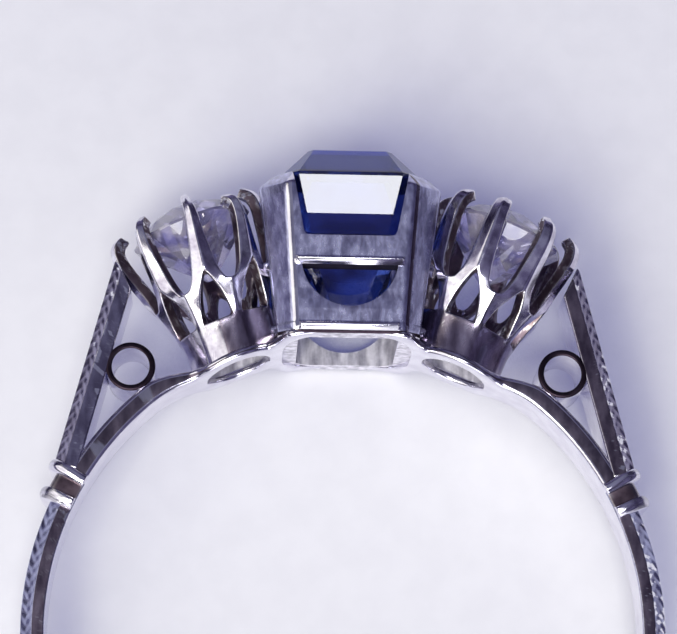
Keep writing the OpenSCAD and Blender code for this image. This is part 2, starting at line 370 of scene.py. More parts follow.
# Collars: two rounded beads of metal across each end of the shank, filed from the solid, with a short
# recessed neck between them.
collar_low, collar_high = math.radians(24), math.radians(29)
collar_bore = finger_r + 0.03
collar_w, collar_half, collar_bulge, collar_round = 2.08, 0.2, 0.16, 0.7
collar_tops = {collar_low: 9.74, collar_high: 9.9}
neck_r, neck_w, neck_round = 9.55, 1.7, 0.22
foot_round, hoop_step = 0.05, 0.15
bead_steps, bead_round_steps, neck_steps = 24, 10, 6


def hoop_section(top, width, corner, corner_steps=4):
    """Section of metal round the hoop, from just over the bore out to a height."""
    return divided(softened([
        (collar_bore, -width / 2, foot_round), (top, -width / 2, corner),
        (top, width / 2, corner), (collar_bore, width / 2, foot_round)], corner_steps), hoop_step)


for side, side_name in ((-1, "left"), (1, "right")):
    for angle, level in ((collar_low, "low"), (collar_high, "high")):
        rows = []
        for i in range(bead_steps + 1):
            lean = math.pi * (i / bead_steps - 0.5)
            shrink = collar_bulge * (1 - math.cos(lean))
            turn = angle + collar_half * math.sin(lean) / band_r
            section = hoop_section(
                collar_tops[angle] - shrink, collar_w - 2 * shrink, collar_round, bead_round_steps)
            rows.append([
                (side * p.x * math.cos(turn), p.x * math.sin(turn), p.y) for p in section])
        collar = made(f"{side_name}_collar_{level}", *skin(rows), polished)
        square_ends(collar)
        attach(collar, "root")
        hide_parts("ring_mount")
    rows = []
    section = hoop_section(neck_r, neck_w, neck_round)
    for i in range(neck_steps + 1):
        turn = collar_low + (collar_high - collar_low) * i / neck_steps
        rows.append([(side * p.x * math.cos(turn), p.x * math.sin(turn), p.y) for p in section])
    # the recessed neck between the beads is painted dark brown as shade
    neck = made(f"{side_name}_neck", *skin(rows), shade_brown)
    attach(neck, "root")
    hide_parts("ring_mount")


# Shoulder bars: straight bars that rise from the upper collars to the outer claws, cut with leaves on their
# bevelled outer edges as the shank is, and filed to a point where they are soldered to the coronets.
bar_foot, bar_top = Vector((8.52, 4.75)), Vector((6.90, 10.95))
bar_t, shoulder_w, bar_bevel, bar_round = 0.72, 1.9, 0.3, 0.05
bar_step = 0.045
end_slant, end_round, end_taper = 0.75, 0.1, 0.12
bar_run = bar_top - bar_foot
bar_way = bar_run.normalized()
bar_out = Vector((bar_way.y, -bar_way.x))
bar_half = shoulder_w / 2
bar_section = divided(softened([
    (-bar_t, -bar_half, bore_round), (-bar_bevel, -bar_half, bevel_round),
    (0, bar_bevel - bar_half, bar_round), (0, bar_half - bar_bevel, bar_round),
    (-bar_bevel, bar_half, bevel_round), (-bar_t, bar_half, bore_round),
]), section_step)
for side, side_name in ((-1, "left"), (1, "right")):
    rows = []
    steps = round(bar_run.length / bar_step)
    for i in range(steps + 1):
        row = []
        left_over = bar_run.length * (1 - i / steps)
        taper = 1 - end_taper * max(0, 1 - left_over / end_round) ** 2
        for p in bevel_cut(bar_section, shoulder_w, -bar_bevel, bar_bevel, bar_run.length - left_over):
            along = i / steps * (bar_run.length + end_slant * p.x / bar_t)
            place = bar_foot + bar_way * along + bar_out * (-bar_t / 2 + (p.x + bar_t / 2) * taper)
            row.append((side * place.x, place.y, p.y * taper))
        rows.append(row)
    bar = made(f"{side_name}_shoulder_bar", *skin(rows), darkened)
    # the left bar's sides keep the lighter bar finish as painted light, and the right bar's take painted
    # shade
    dressed(bar, bar_section, darkened if side < 0 else painted_shade_violet)
    square_ends(bar)
    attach(bar, "root")
    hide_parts("ring_mount")


# Fork tubes: a short open tube, soldered into each fork between the bar and the gallery.
tube_at, tube_r, tube_hole_r = (6.36, 7.64), 0.73, 0.55
tube_hole_round, tube_rim_round = 0.05, 0.07
tube_steps, rim_facing = 64, 0.35
for side, side_name in ((-1, "left"), (1, "right")):
    rows = []
    wall = softened([
        (tube_hole_r, -bar_half, tube_hole_round), (tube_r, -bar_half, tube_rim_round),
        (tube_r, bar_half, tube_rim_round), (tube_hole_r, bar_half, tube_hole_round)])
    for i in range(tube_steps):
        turn = math.tau * i / tube_steps
        rows.append([
            (side * (tube_at[0] + p.x * math.cos(turn)), tube_at[1] + p.x * math.sin(turn), p.y)
            for p in wall])
    tube = made(f"{side_name}_fork_tube", *skin(rows, hoop=True), polished)
    # the faces of the rims, across the finger, are coloured near black
    rim_slot, = slots(tube, near_black)
    for face in tube.data.polygons:
        if abs((lean_back.inverted() @ face.normal).z) > rim_facing:
            face.material_index = rim_slot
    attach(tube, "root")
    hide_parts("ring_mount")


# Gallery: a thin strip bent over the finger from collar to collar. It widens into a disc under each coronet
# and into a plate under the box, where it is beaten thinner, and is sawn through under each of the stones.
rail_t, rail_half, rim_round, rim_share = 0.6, 0.94, 0.13, 0.42
solder_lap = 0.01
gallery_end = math.pi / 2 - shank_ends + solder_lap
mid_r = finger_r + rail_t / 2
length = gallery_end * mid_r
disc_at = math.radians(22.3) * mid_r
disc, disc_hole = Vector((1.66, 1.66)), Vector((1.06, 1.06))
plate_half, plate_edge, plate_hole = 2.46, (1.8, 2.9), Vector((2.04, 2.1))
hole_square = 3.4
head_share, head_drop = 0.42, 0.22
rail_ends, head_starts = math.radians(40), math.radians(27)
corner_ease, ease_steps = 0.2, 6
strip_steps, hole_steps, arc_steps, flat_steps = 160, 48, 4, 5
outer_flat = 2 * arc_steps + flat_steps  # place of the flat on the outer edge in a half section's loop
least_step, weld_digits = 0.002, 4


def oval(s, half, square):
    """Half width of an oval, which is round at 2 and squarer above, at a distance from its middle."""
    return half.y * max(0.0, 1 - abs(s / half.x) ** square) ** (1 / square)


def eased(low, high, value):
    """Goes smoothly from 0 to 1 as the value goes from low to high."""
    t = min(1, max(0, (value - low) / (high - low)))
    return t * t * (3 - 2 * t)


def strip_half(s):
    """Half width of the strip at a distance along its bend, averaged a little to ease its corners."""
    samples = [abs(s + corner_ease * k / ease_steps) for k in range(-ease_steps, ease_steps + 1)]
    return sum(
        max(rail_half, oval(at - disc_at, disc, 2), plate_half * (1 - eased(*plate_edge, at)))
        for at in samples) / len(samples)


def hole_half(s):
    return max(oval(abs(s) - disc_at, disc_hole, 2), oval(s, plate_hole, hole_square))


def under_head(bend):
    """1 where the strip runs under the three stones, easing to 0 along the rails."""
    return 1 - eased(head_starts, rail_ends, abs(bend))


def arc(x, y, radius, first):
    """A quarter turn of a rounded rim, from an angle given in quarters."""
    turns = [(first + k / arc_steps) * math.pi / 2 for k in range(arc_steps + 1)]
    return [(x + radius * math.cos(t), y + radius * math.sin(t)) for t in turns]


def flat(start, end, height):
    return [(start + (end - start) * k / flat_steps, height) for k in range(1, flat_steps)]


def half_section(s, side):
    """Half of the strip's section at a distance along its bend, from its hole to its edge and back."""
    bend = s / mid_r
    under = under_head(bend)
    thick = rail_t * (1 - (1 - head_share) * under)
    low, high = hole_half(s), strip_half(s)
    edge = min(rim_round, rim_share * thick)
    inner = min(edge, low)
    section = (
        arc(low + inner, inner, inner, 2) + flat(low + inner, high - edge, 0)
        + arc(high - edge, edge, edge, 3) + arc(high - edge, thick - edge, edge, 0)
        + flat(high - edge, low + inner, thick) + arc(low + inner, thick - inner, inner, 1))
    r = finger_r - head_drop * under
    return [((r + h) * math.sin(bend), (r + h) * math.cos(bend), side * z) for z, h in section]


def welded(points, faces):
    """The same skin with points in one place made one. It leaves out faces that close up, and says which
    faces it keeps."""
    places = {}
    index = [places.setdefault(tuple(round(c, weld_digits) for c in p), len(places)) for p in points]
    kept, whence = [], []
    for k, face in enumerate(faces):
        corners = list(dict.fromkeys(index[i] for i in face))
        if len(corners) > 2:
            kept.append(corners)
            whence.append(k)
    return list(places), kept, whence


marks = [length * (2 * i / strip_steps - 1) for i in range(strip_steps + 1)]
for middle, size, square in (
        (-disc_at, disc_hole, 2), (0, plate_hole, hole_square), (disc_at, disc_hole, 2)):
    for i in range(hole_steps + 1):
        way = math.cos(math.pi * i / hole_steps)
        marks.append(middle + math.copysign(size.x * abs(way) ** (2 / square), way))
marks.sort()
stations = marks[:1] + [b for a, b in zip(marks, marks[1:]) if b - a > least_step]
points, faces, sides = [], [], []
for side in (-1, 1):
    part, part_faces = skin([half_section(s, side) for s in stations])
    count = len(part) // len(stations)
    for k, face in enumerate(part_faces):
        row, along = divmod(k, count)
        closed = row < len(stations) - 1 and not (hole_half(stations[row]) or hole_half(stations[row + 1]))
        if not (closed and along == count - 1):
            faces.append([i + len(points) for i in face])
            sides.append(along == outer_flat)
    points += part
points, faces, whence = welded(points, faces)
gallery = made("gallery", points, faces, polished)
gallery.modifiers.new("even_shading", "WEIGHTED_NORMAL").keep_sharp = True
square_ends(gallery)
# the flat sides of the strip are painted dark violet as shade
rim_side_shade_slot, = slots(gallery, painted_shade_violet)
for face, k in zip(gallery.data.polygons, whence):
    if sides[k]:
        face.material_index = rim_side_shade_slot
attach(gallery, "root")
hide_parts("ring_mount")


# Sapphire: step cut, with cut corners. Its steps run parallel to its sides, down to a short keel.
stone_rows = [
    # height, half width, half length, corner cut
    (9.25, 0.5, 0.75, 0.15),
    (10.75, 1.3, 1.46, 0.36),
    (12.08, 1.66, 2.15, 0.40),
    (13.16, 2.0, 2.5, 0.48),
    (13.26, 2.0, 2.5, 0.48),
    (14.16, 1.24, 1.6, 0.16),
]
cut_growth = 0.4


def eight_sided(height, hx, hz, cut, grow=0.0):
    """Corners of an oblong with cut corners, at a height, grown on all sides."""
    hx, hz, cut = hx + grow, hz + grow, cut + cut_growth * grow
    return [
        (hx, height, hz - cut), (hx - cut, height, hz), (cut - hx, height, hz),
        (-hx, height, hz - cut), (-hx, height, cut - hz), (cut - hx, height, -hz),
        (hx - cut, height, -hz), (hx, height, cut - hz)]


# Colour: the crown is tinted lighter, a painted sheen. The pavilion wanders at random between dark and lit
# blue, and above its lowest step it is painted darker as shade.
dark_blue, lit_blue, crown_sheen_blue = (0.008, 0.013, 0.075, 1), (0.05, 0.11, 0.62, 1), (0.13, 0.22, 0.98, 1)
depth_size, depth_span, step_shade = 1.6, (0.35, 0.65), 0.85
crown_from, step_blur = (2e-5, 1.2e-4), 1e-4
sapphire_blue, sapphire_shader, wire = new_finish("sapphire_blue")
depth = wire.speckle(depth_size).between(*depth_span)
height_here = wire.node("ShaderNodeSeparateXYZ", inputs={
    "Vector": wire.node("ShaderNodeTexCoord", output="Object")}, output="Y")
girdle_y = (lie_down @ Vector((0, stone_rows[-2][0], stone_rows[-2][2]))).y
crown_sheen_zone = height_here.between(girdle_y + crown_from[0], girdle_y + crown_from[1])
step_y = (lie_down @ Vector((0, stone_rows[1][0], stone_rows[1][2]))).y
over_step = height_here.between(step_y - step_blur, step_y + step_blur)
pavilion = (depth * (1 - over_step * step_shade)).blend(dark_blue, lit_blue)
hue = crown_sheen_zone.blend(pavilion, crown_sheen_blue)
wire.tree.links.new(hue.socket, sapphire_shader.inputs["Base Color"])
sapphire_shader.inputs["Roughness"].default_value = 0.0
sapphire_shader.inputs["IOR"].default_value = 1.77
sapphire_shader.inputs["Transmission Weight"].default_value = 0.8
sapphire = made(
    "step_cut_sapphire", *skin([eight_sided(*row) for row in stone_rows]), sapphire_blue, flat=True)
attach(sapphire, "root")
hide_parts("sapphire")


# Box setting: four tapered plates and four corner posts, bent up from one piece. Each plate has an open
# window over its crossbar and a half-moon below it, and the tops of the posts are rubbed over the stone.
box_foot, box_rim = 8.4, 12.76
box_hx, box_hz, box_corner = 2.72, 2.97, 0.8
box_slope = (0.14, 0.11, 0.07)
box_slope_from = 13.05
box_wall, seat_gap = 0.6, 0.03
hollow_foot, lit_below, hollow_top = box_foot - 1, 9.3, 12.55
front_round, side_round = 0.38, 0.2
window_round, eased_angle, eased_segments = 0.05, math.radians(50), 3
# the last is the top of the strip under the plinth bar that is painted black as shade
crossbar_low, window_sill = 10.42, 11.26
plinth_low, plinth_top, plinth_shade_top = 8.47, 8.73, 8.49
window_low_half, window_top_half, side_spread = 1.34, 1.86, 0.15
moon_r, moon_bottom, moon_top, back_drop = 1.42, 9.2, 10.4, 0.4
window_rim, reach = 14, 6
sill_round, window_top_round = 0.2, 0.01
outline_steps, moon_steps, bar_ends = 5, 40, (0.02, 0.98)
# each row: height, how far the bars on the plates stand proud there, and how far the whole outline does
bar_profile = (
    (box_foot, 0, 0), (plinth_low, 0, 0), (plinth_low + 0.02, 0.01, 0.02),
    (plinth_low + 0.13, 0.14, 0.02), (plinth_top - 0.07, 0.14, 0.02), (plinth_top - 0.02, 0.1, 0.01),
    (plinth_top + 0.02, 0, 0), (plinth_top + 0.05, 0, 0), (9.1, 0, 0), (9.7, 0, 0), (10.1, 0, 0),
    (crossbar_low - 0.05, 0, 0), (crossbar_low - 0.02, 0, 0), (crossbar_low + 0.12, 0.14, 0),
    (crossbar_low + 0.15, 0.14, 0), (crossbar_low + 0.21, 0.07, 0), (crossbar_low + 0.23, 0, 0),
    (crossbar_low + 0.26, 0, 0), (crossbar_low + 0.38, 0, 0), (window_sill, 0, 0),
    (11.9, 0, 0), (12.4, 0, 0), (box_rim, 0, 0))
bar_spans = (plinth_shade_top, plinth_top), (crossbar_low - 0.02, crossbar_low + 0.22)
# each row: rise over the rim of the tops of the posts, which slope up inward, and their inset
post_slope = ((0.05, 0.02), (0.12, 0.08), (0.25, 0.22), (0.4, 0.38), (0.52, 0.54), (0.6, 0.7), (0.62, 0.85))


def box_size(height):
    """Half width, half length and corner cut of the box's outside, at a height."""
    drop = box_slope_from - height
    return box_hx - box_slope[0] * drop, box_hz - box_slope[1] * drop, box_corner - box_slope[2] * drop


def box_outline(height, proud=0.0, inset=0.0):
    """The box's outside at a height: eight eased corners, and the bars on its four plates."""
    corners = eight_sided(height, *box_size(height), -inset)
    rounds = (side_round, front_round, front_round, side_round) * 2
    outline = softened([(x, z, r) for (x, _, z), r in zip(corners, rounds)], outline_steps)
    each = len(outline) // len(corners)
    row = []
    for i in range(len(corners)):
        row += outline[i * each:(i + 1) * each]
        if i % 2:
            start, end = row[-1], outline[(i + 1) % len(corners) * each]
            out = Vector((0, math.copysign(proud, start.y)))
            if i % 4 == 3:
                out = Vector((math.copysign(proud, start.x), 0))
            row += [start.lerp(end, k) + out for k in bar_ends]
    return [(p.x, height, p.y) for p in row]


def block(points, faces):
    """A plain solid in millimetres, to carve or to carve with."""
    mesh = bpy.data.meshes.new("block")
    mesh.from_pydata([Vector(p) for p in points], [], faces)
    solid = bpy.data.objects.new("block", mesh)
    bpy.context.scene.collection.objects.link(solid)
    tidy = bmesh.new()
    tidy.from_mesh(mesh)
    bmesh.ops.recalc_face_normals(tidy, faces=tidy.faces)
    tidy.to_mesh(mesh)
    tidy.free()
    return solid


def window_prism(outline, along_x, until=reach):
    """A bar through the box from its back, with an outline given across it and by height."""
    rows = []
    for z in (-reach, until):
        rows.append([(z, y, x) if along_x else (x, y, z) for x, y in outline])
    return block(*skin(rows))


def windows(spread, along_x):
    """The open-topped window over the crossbar and the half-moon under it, which is deeper at the back."""
    low, top = window_low_half + spread, window_top_half + spread
    radius = moon_r + spread
    upper = softened([
        (-low, window_sill, sill_round), (low, window_sill, sill_round),
        (top, window_rim, window_top_round), (-top, window_rim, window_top_round)])
    rise = math.asin((moon_top - moon_bottom - radius) / radius)
    turns = [math.pi - rise + (math.pi + 2 * rise) * i / moon_steps for i in range(moon_steps + 1)]
    moon = [(radius * math.cos(t), moon_bottom + radius + radius * math.sin(t)) for t in turns]
    prisms = [window_prism([tuple(p) for p in upper], along_x), window_prism(moon, along_x)]
    if not along_x:
        prisms.append(window_prism([(x, y - back_drop) for x, y in moon], False, until=0))
    return prisms


outer = [box_outline(height, proud, -all_round) for height, proud, all_round in bar_profile]
outer += [box_outline(box_rim + rise, 0, inset) for rise, inset in post_slope]
box = block(*skin(outer))
hollow = [eight_sided(h, *box_size(h), -box_wall) for h in (hollow_foot, lit_below, hollow_top)]
seat = [eight_sided(*row, seat_gap) for row in stone_rows]
seat_lifted = [[(x, y + 2 * seat_gap, z) for x, y, z in row] for row in seat]
cutters = [block(*skin(hollow)), block(*skin(seat)), block(*skin(seat_lifted))]
cutters += windows(0, False) + windows(side_spread, True)
for cutter in cutters:
    carving = box.modifiers.new("carving", "BOOLEAN")
    carving.operation, carving.object, carving.solver = "DIFFERENCE", cutter, "EXACT"
easing = box.modifiers.new("easing", "BEVEL")
easing.limit_method, easing.angle_limit = "ANGLE", eased_angle
easing.width, easing.segments = window_round, eased_segments
bpy.context.view_layer.update()
shaped = box.evaluated_get(bpy.context.evaluated_depsgraph_get()).to_mesh()
box_setting = made(
    "box_setting", [v.co.copy() for v in shaped.vertices],
    [tuple(f.vertices) for f in shaped.polygons], satin)
for spare in cutters + [box]:
    bpy.data.objects.remove(spare)
box_setting.modifiers.new("even_shading", "WEIGHTED_NORMAL")

# Its bars are polished, the strip under the plinth bar is painted black as shade, and painted near-black
# shade lies under its window bars. One edge of each post carries a painted highlight and the other a dark
# line of painted shade. The walls inside are rough and painted light at the foot, where light gets in, and
# painted dark with shade above.
reveal, plate_margin, rim_depth, ceiling_facing = 0.07, 0.17, 0.3, -0.6
# angles of the post edges that get a dark line of painted shade and a painted highlight
painted_shade_edge, painted_highlight_edge = (24, 42), (1.5, 28)
inside_shade_slot, plinth_shade_slot, edge_shade_slot, polish_and_highlight_slot, ceiling_shade_slot, rough_lit_slot = slots(
    box_setting, shade_brown, near_black, painted_shade_violet, polished, painted_shade_black, rough_and_painted_light)
for face in box_setting.data.polygons:
    at = lie_down.inverted() @ face.center
    way = lean_back.inverted() @ face.normal
    hx, hz, cut = box_size(at.y)
    from_corner = (hx + hz - cut - abs(at.x) - abs(at.z)) / math.sqrt(2)
    depth_in = min(hx - abs(at.x), hz - abs(at.z), from_corner)
    within = depth_in > reveal and at.y < box_rim - rim_depth
    turned = math.degrees(math.atan2(abs(way.x), abs(way.z)))
    on_plate = abs(at.x) < hx - cut - plate_margin or abs(at.z) < hz - cut - plate_margin
    on_bar = any(low < at.y < top for low, top in bar_spans)
    # inside faces looking down, under the window bars, are painted near black as shade
    if within and way.y < ceiling_facing and at.y > box_foot + reveal:
        face.material_index = ceiling_shade_slot
    # inside walls: painted shade above lit_below, rough and painted light below it
    elif within:
        face.material_index = inside_shade_slot if at.y > lit_below else rough_lit_slot
    # the strip under the plinth bar is painted black as shade
    elif at.y < plinth_shade_top:
        face.material_index = plinth_shade_slot
    elif on_plate and on_bar:
        face.material_index = polish_and_highlight_slot
    # a dark line of painted shade on one edge of each post
    elif at.x * at.z > 0 and painted_shade_edge[0] < turned < painted_shade_edge[1]:
        face.material_index = edge_shade_slot
    # a painted highlight on the other edge of each post
    elif at.x * at.z < 0 and painted_highlight_edge[0] < turned < painted_highlight_edge[1]:
        face.material_index = polish_and_highlight_slot
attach(box_setting, "root")
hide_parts("ring_mount")


# Coronets: cups spun from the same metal, filed down from the rim into eight claws and pierced between the
# feet, so that each claw stands on two legs. The tips are pressed over the edge of the stone.
coronet_at, coronet_lean = Vector((3.355, 8.7, 0)), math.radians(21.5)
claws = 8
pitch = 360 / claws
# each row: outer radius and height, inner radius and height
cup_rows = [
    (1.52, -0.80, 1.20, -0.80),
    (1.52, 0.10, 1.22, 0.10),
    (1.60, 0.42, 1.27, 0.42),
    (1.80, 0.95, 1.42, 0.95),
    (1.99, 1.42, 1.56, 1.42),
    (2.11, 1.86, 1.67, 1.90),
    (2.22, 2.50, 1.77, 2.50),
    (2.30, 3.15, 1.83, 3.12),
    (2.33, 3.68, 1.90, 3.58),
    (2.21, 4.06, 1.82, 3.86),
    (1.88, 4.24, 1.60, 4.00),
]
foot_row, gap_row, fork_row, tip_row = 2, 4, 5, len(cup_rows) - 1
# by row, in degrees from the middle of a claw: edge of the arch under it, of the gap beside it, and its own
arch_edge = {2: 18, 3: 14, 4: 7.5}
gap_edge = {2: 20.5, 3: 19, 4: 16.5}
claw_edge = {5: 11.5, 6: 8.4, 7: 6.2, 8: 5.0, 9: 4.4, 10: 3.8}
ridge, leg_ridge, foot_top, twist_top, bend_span = 0.13, 0.7, 0.5, 3.6, (2.0, 3.4)
sway_pitch, sway_rise, sway_turn, sway_out, sway_seed = 40, 0.6, 2, 0.02, 7.0
arch_crease, outer_crease, inner_crease, ridge_crease = 0.75, 0.62, 0.35, 0.45


def coronet_cage(turn, twist, bent, broad, seed):
    """Outer and inner points of the cup, and the faces of its outer skin. The feet are twisted round from
    the tips, single claws are bent round, down and out, and the tips may be broader."""
    places, outer_points, inner_points, faces, ridge_points, arch_points = {}, [], [], [], set(), set()
    width_at = {
        row: edge * (1 + (broad - 1) * max(0, row - fork_row) / (tip_row - fork_row))
        for row, edge in claw_edge.items()}

    def at(unit, offset, row):
        """The point of a row at an offset from the middle of a claw, made when it is first called for."""
        key = (round((unit * pitch + offset) % 360, 3), row)
        if key not in places:
            places[key] = len(outer_points)
            if key[0] % (pitch / 2) == 0 and row > foot_row:
                ridge_points.add(places[key])
            if row == fork_row and key[0] % pitch == 0:
                arch_points.add(places[key])
            if row == foot_row and abs(offset) in (arch_edge[row], pitch - arch_edge[row]):
                arch_points.add(places[key])
            ro, ho, ri, hi = cup_rows[row]
            sway = noise.noise(Vector((key[0] / sway_pitch, row * sway_rise, seed)))
            above = max(0, row - fork_row) / (tip_row - fork_row)
            round_by, down_by, out_by = bent.get(round(key[0] / pitch) % claws, (0, 0, 0))
            twisted = turn + twist * max(0, 1 - ho / twist_top)
            angle = math.radians(key[0] - 90 + twisted + above * (round_by + sway_turn * sway))
            ro *= 1 + sway_out * sway
            from_ridge = abs((key[0] + pitch / 2) % pitch - pitch / 2)
            if row >= fork_row:
                ro -= ridge * min(1, from_ridge / width_at[row])
            elif row > foot_row:
                over_leg = (from_ridge - arch_edge[row]) / (pitch / 2 - arch_edge[row])
                ro -= ridge * leg_ridge * (1 - min(1, over_leg))
            ro += eased(*bend_span, ho) * out_by
            ri += eased(*bend_span, hi) * out_by
            ho -= above * down_by
            hi -= above * down_by
            outer_points.append((ro * math.cos(angle), ro * math.sin(angle), ho))
            inner_points.append((ri * math.cos(angle), ri * math.sin(angle), hi))
        return places[key]

    def strip(unit, row, low, high):
        """Faces between two rows, over the columns named by their offsets in each."""
        for k in range(len(low) - 1):
            faces.append((
                at(unit, low[k], row), at(unit, low[k + 1], row),
                at(unit, high[k + 1], row + 1), at(unit, high[k], row + 1)))

    def legs(row):
        """Columns from the arch under one claw to the arch under the next."""
        arch, gap = arch_edge[max(row, foot_row)], gap_edge[max(row, foot_row)]
        return [arch, gap, pitch / 2, pitch - gap, pitch - arch]

    def whole(row):
        return [-legs(row)[0], 0] + legs(row)

    def claw(row):
        return [-width_at[row], 0, width_at[row]]

    for unit in range(claws):
        for row in range(foot_row):
            strip(unit, row, whole(row), whole(row + 1))
        for row in range(foot_row, gap_row):
            strip(unit, row, legs(row), legs(row + 1))
        arch, gap, edge = arch_edge[gap_row], gap_edge[gap_row], claw_edge[fork_row]
        strip(unit, gap_row, [arch, gap], [0, edge])
        strip(unit, gap_row, [-gap, -arch], [-edge, 0])
        for row in range(fork_row, tip_row):
            strip(unit, row, claw(row), claw(row + 1))
    return outer_points, inner_points, faces, ridge_points, arch_points


def walled(outer_points, inner_points, faces):
    """A closed skin from an outer one and its inner twin, with walls along the open edges."""
    count = len(outer_points)
    edges = {}
    for face in faces:
        for i, a in enumerate(face):
            edges[(a, face[(i + 1) % len(face)])] = face
    walls = [
        (b, a, a + count, b + count) for a, b in edges if (b, a) not in edges]
    inner = [tuple(reversed([i + count for i in face])) for face in faces]
    return outer_points + inner_points, faces + inner + walls


def on_coronet(side):
    """Stands a piece on a coronet's own axis."""
    return (
        Matrix.Translation((side * coronet_at.x, coronet_at.y, 0))
        @ Matrix.Rotation(-side * coronet_lean, 4, "Z") @ Matrix.Rotation(-math.pi / 2, 4, "X"))


# by claw, counted from the front towards the right: degrees bent round, and how far down and out
left_bends = {1: (-7, 0.32, 0), 2: (-8, 0, 0), 6: (0, 0.12, 0.26), 7: (0, 0.08, 0.08)}
right_bends = {2: (0, 0, 0.12), 7: (6, 0, 0)}
coronets = (
    # side, its name, turn of the tips, twist of the feet, bent claws, breadth of tips, part of the foot
    # painted light
    (-1, "left", 0, -13.5, left_bends, 1, (175, 250)),
    (1, "right", -9, 0, right_bends, 1.7, (0, 0)),
)
for side, side_name, turn, twist, bent, broad, painted_light_span in coronets:
    outer_points, inner_points, faces, ridge_points, arch_points = coronet_cage(
        turn, twist, bent, broad, side * sway_seed)
    outer_count = len(outer_points)
    points, faces = walled(outer_points, inner_points, faces)
    stand = on_coronet(side)
    coronet = made(
        f"{side_name}_coronet", [stand @ Vector(p) for p in points], faces, worked)
    peaks = coronet.data.attributes.new("crease_vert", "FLOAT", "POINT")
    for i in arch_points:
        peaks.data[i].value = arch_crease
        peaks.data[i + outer_count].value = arch_crease
    sharpness = coronet.data.attributes.new("crease_edge", "FLOAT", "EDGE")
    inside_shade_slot, foot_shade_slot, rough_lit_slot = slots(coronet, shade_brown, painted_foot_shade, rough_and_painted_light)
    foot_points = {i for i, p in enumerate(outer_points) if p[2] < foot_top}
    wall_edges = set()
    for face in coronet.data.polygons:
        here = stand.inverted() @ (lie_down.inverted() @ face.center)
        facing = math.degrees(math.atan2(here.y, here.x)) % 360
        outer_corners = sum(i < outer_count for i in face.vertices)
        # inside the cup, painted shade above the foot and painted light below it; the side walls of the
        # claws take painted shade too
        if outer_corners == 0:
            face.material_index = inside_shade_slot if here.z > foot_top else rough_lit_slot
        elif outer_corners < len(face.vertices):
            face.material_index = inside_shade_slot
            wall_edges.update(face.edge_keys)
        # the feet are painted dark as shade, but for a stretch facing the left lamps, kept bright as
        # painted light
        elif foot_points.issuperset(face.vertices) and not painted_light_span[0] < facing < painted_light_span[1]:
            face.material_index = foot_shade_slot
    for edge in coronet.data.edges:
        a, b = edge.key
        if edge.key in wall_edges and (a < outer_count) == (b < outer_count):
            sharpness.data[edge.index].value = outer_crease if a < outer_count else inner_crease
        elif a in ridge_points and b in ridge_points:
            sharpness.data[edge.index].value = ridge_crease
    rounding = coronet.modifiers.new("rounding", "SUBSURF")
    rounding.levels = rounding.render_levels = 3
    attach(coronet, "root")
    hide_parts("ring_mount")


# Diamonds: old-cut round stones with a small table, eight main facets above and below, and a little flat
# at the bottom. They sit in the coronets, just under the tips.
girdle_h, girdle_half, diamond_r = 3.58, 0.04, 1.82
table_r, star_r, lower_r, culet_r = 0.95, 1.42, 0.75, 0.13
half_facet = math.pi / 8
crown_slope, pavilion_slope = math.tan(math.radians(34)), math.tan(math.radians(43))
grey_violet, pale_violet = (0.40, 0.38, 0.80, 1), (0.80, 0.76, 1.0, 1)
haze_size, haze_span = 0.6, (0.38, 0.62)


def facet_rise(r, slope, halfway):
    """Height over the girdle of a main facet at a radius, in line with its corner or halfway along."""
    return slope * (diamond_r - r * (math.cos(half_facet) if halfway else 1))


def facet_ring(r, height, count, first=0.0):
    turns = [first + math.tau * i / count for i in range(count)]
    return [Vector((r * math.cos(t), r * math.sin(t), height)) for t in turns]


diamond_white, diamond_shader, wire = new_finish("diamond_white")
hue = wire.speckle(haze_size).between(*haze_span).blend(grey_violet, pale_violet)
wire.tree.links.new(hue.socket, diamond_shader.inputs["Base Color"])
diamond_shader.inputs["Roughness"].default_value = 0.0
diamond_shader.inputs["IOR"].default_value = 2.42
diamond_shader.inputs["Transmission Weight"].default_value = 0.72

diamond_points = (
    facet_ring(table_r, girdle_half + facet_rise(table_r, crown_slope, False), 8, half_facet)
    + facet_ring(star_r, girdle_half + facet_rise(star_r, crown_slope, True), 8)
    + facet_ring(diamond_r, girdle_half, 16) + facet_ring(diamond_r, -girdle_half, 16)
    + facet_ring(lower_r, -girdle_half - facet_rise(lower_r, pavilion_slope, True), 8)
    + facet_ring(culet_r, -girdle_half - facet_rise(culet_r, pavilion_slope, True), 8))
table, star, upper, lower, low_star, culet = 0, 8, 16, 32, 48, 56
diamond_faces = [tuple(range(table, table + 8)), tuple(range(culet, culet + 8))]
for i in range(8):
    after, before, mid, behind = (i + 1) % 8, (i + 7) % 8, 2 * i + 1, (2 * i + 15) % 16
    diamond_faces += [
        (table + i, star + i, table + before),
        (table + i, star + after, upper + mid, star + i),
        (star + i, upper + mid, upper + 2 * i),
        (star + i, upper + 2 * i, upper + behind),
        (culet + i, low_star + i, lower + mid, low_star + after, culet + after),
        (low_star + i, lower + 2 * i, lower + mid),
        (low_star + i, lower + behind, lower + 2 * i)]
diamond_faces += [
    (upper + j, upper + (j + 1) % 16, lower + (j + 1) % 16, lower + j) for j in range(16)]
for side, side_name in ((-1, "left"), (1, "right")):
    stand = on_coronet(side) @ Matrix.Translation((0, 0, girdle_h))
    diamond = made(
        f"{side_name}_old_cut_diamond", [stand @ p for p in diamond_points], diamond_faces,
        diamond_white, flat=True)
    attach(diamond, "root")
    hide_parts(f"{side_name}_diamond")


